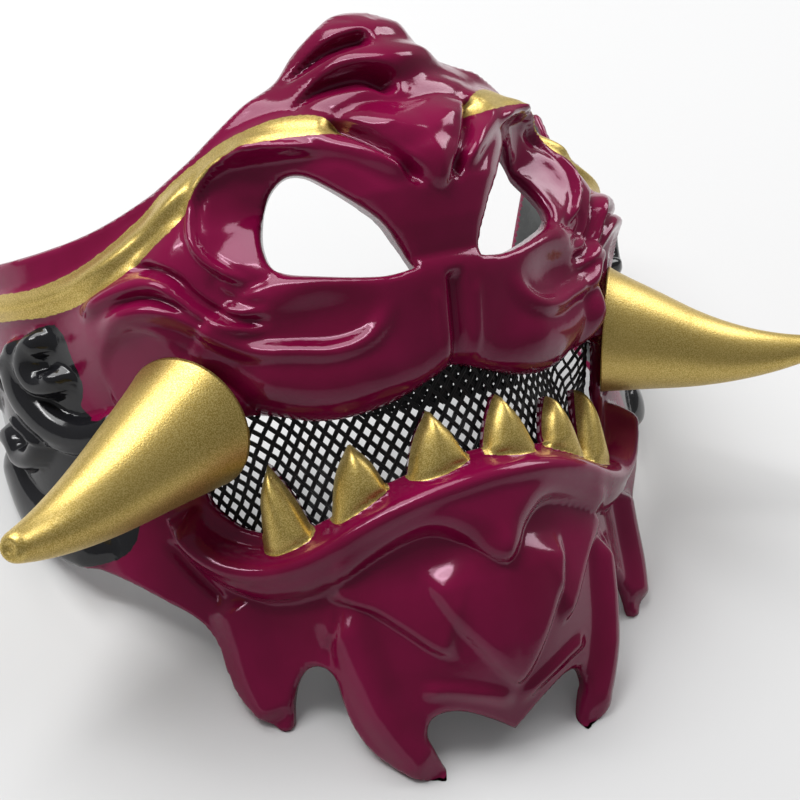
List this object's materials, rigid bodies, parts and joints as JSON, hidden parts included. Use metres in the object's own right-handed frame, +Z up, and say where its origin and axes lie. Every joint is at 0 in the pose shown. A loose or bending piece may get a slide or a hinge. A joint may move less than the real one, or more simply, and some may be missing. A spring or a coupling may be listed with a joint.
{
  "type": "face mask",
  "caption": "Full-face devil mask in the samurai manner: moulded shell with eye holes, upward tusks, scroll ears, forked chin flames and a netted open mouth",
  "frame": {"origin": "middle of the footprint, on the table that the mask lies on", "axes": "+X to the mask's own left, +Y from chin to forehead along the table, +Z up; the face leans back 40 degrees from the table top's normal"},
  "size_m": [0.293, 0.233, 0.1638],
  "materials": {
    "magenta_gloss": "glossy, deep magenta red",
    "gold_paint": "satin metallic gold paint",
    "black_gloss": "gloss black on the ear scrolls",
    "dark_inside": "matt grey-black inside",
    "black_net": "open black netting"
  },
  "bodies": {
    "root": {"mask_shell": "magenta_gloss", "tusk_left": "gold_paint", "tusk_right": "gold_paint", "mouth_netting": "black_net"}
  },
  "joints": []
}
